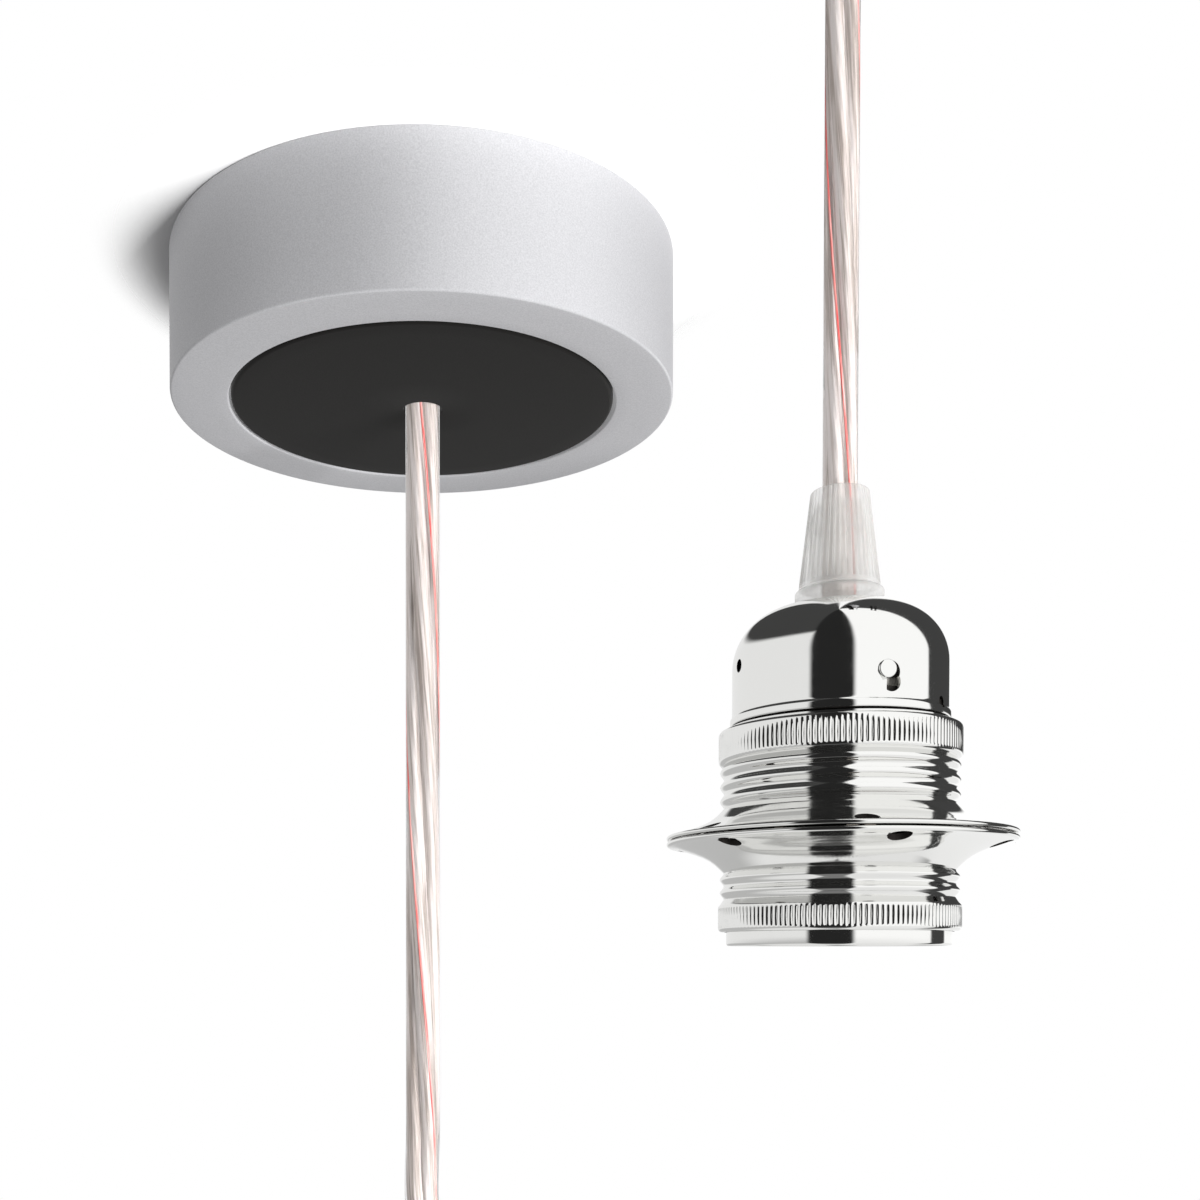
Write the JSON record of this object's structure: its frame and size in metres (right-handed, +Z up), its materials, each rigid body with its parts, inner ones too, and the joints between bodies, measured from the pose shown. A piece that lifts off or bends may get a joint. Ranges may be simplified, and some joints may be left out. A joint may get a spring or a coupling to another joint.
{
  "type": "pendant cord set",
  "caption": "Ceiling rose with a black cover disc, one clear sheathed cord with a stored coil on a hook, and a metal lamp holder with a cord grip and shade rings.",
  "frame": {"origin": "middle of the ceiling rose's ceiling face", "axes": "+Z up into the ceiling, +X from the rose's axis towards the lamp holder's axis"},
  "size_m": [0.1883, 0.09, 0.3921],
  "materials": {
    "silver_powder_coat": "satin silver powder coat",
    "black_satin_plastic": "black, satin moulded",
    "zinc_plated_steel": "bright zinc plate",
    "white_nylon": "white moulded nylon",
    "brass": "bright turned or pressed brass",
    "clear_pvc": "clear glossy PVC over tinned copper strands",
    "chrome_plate": "bright chrome plate",
    "frosted_plastic": "frosted translucent plastic",
    "porcelain": "white glazed porcelain",
    "liner_board": "pale grey-green insulating tube, matt"
  },
  "bodies": {
    "root": {"rose_cup": "silver_powder_coat", "rose_cover_disc": "black_satin_plastic", "ceiling_bracket": "zinc_plated_steel", "cup_screw_1": "zinc_plated_steel", "cup_screw_2": "zinc_plated_steel", "rose_gland_body": "white_nylon", "rose_gland_nut": "zinc_plated_steel", "rose_clamp_screw": "white_nylon", "terminal_block": "white_nylon", "terminal_tube_1": "brass", "terminal_tube_2": "brass", "terminal_tube_3": "brass", "terminal_screw_1": "zinc_plated_steel", "terminal_screw_2": "zinc_plated_steel", "terminal_screw_3": "zinc_plated_steel", "terminal_screw_4": "zinc_plated_steel", "terminal_screw_5": "zinc_plated_steel", "terminal_screw_6": "zinc_plated_steel", "rose_core_live": "clear_pvc", "rose_core_neutral": "clear_pvc", "rose_core_earth": "clear_pvc", "cord_drop": "clear_pvc", "cord_coil": "clear_pvc", "cord_tail": "clear_pvc", "coil_tie_1": "black_satin_plastic", "coil_tie_2": "black_satin_plastic", "ceiling_hook": "silver_powder_coat", "holder_cap": "chrome_plate", "cap_lock_tab": "chrome_plate", "grip_nut": "frosted_plastic", "grip_body": "frosted_plastic", "grip_collet": "white_nylon", "grip_locknut": "zinc_plated_steel", "threaded_sleeve": "chrome_plate", "porcelain_insert": "porcelain", "terminal_plate_live": "brass", "terminal_plate_neutral": "brass", "holder_screw_live": "zinc_plated_steel", "holder_screw_neutral": "zinc_plated_steel", "earth_plate": "zinc_plated_steel", "earth_screw": "zinc_plated_steel", "centre_contact": "brass", "screw_shell": "brass", "insulating_liner": "liner_board", "shade_ring_upper": "chrome_plate", "shade_ring_lower": "chrome_plate", "holder_core_live": "clear_pvc", "holder_core_neutral": "clear_pvc", "holder_core_earth": "clear_pvc"}
  },
  "joints": []
}
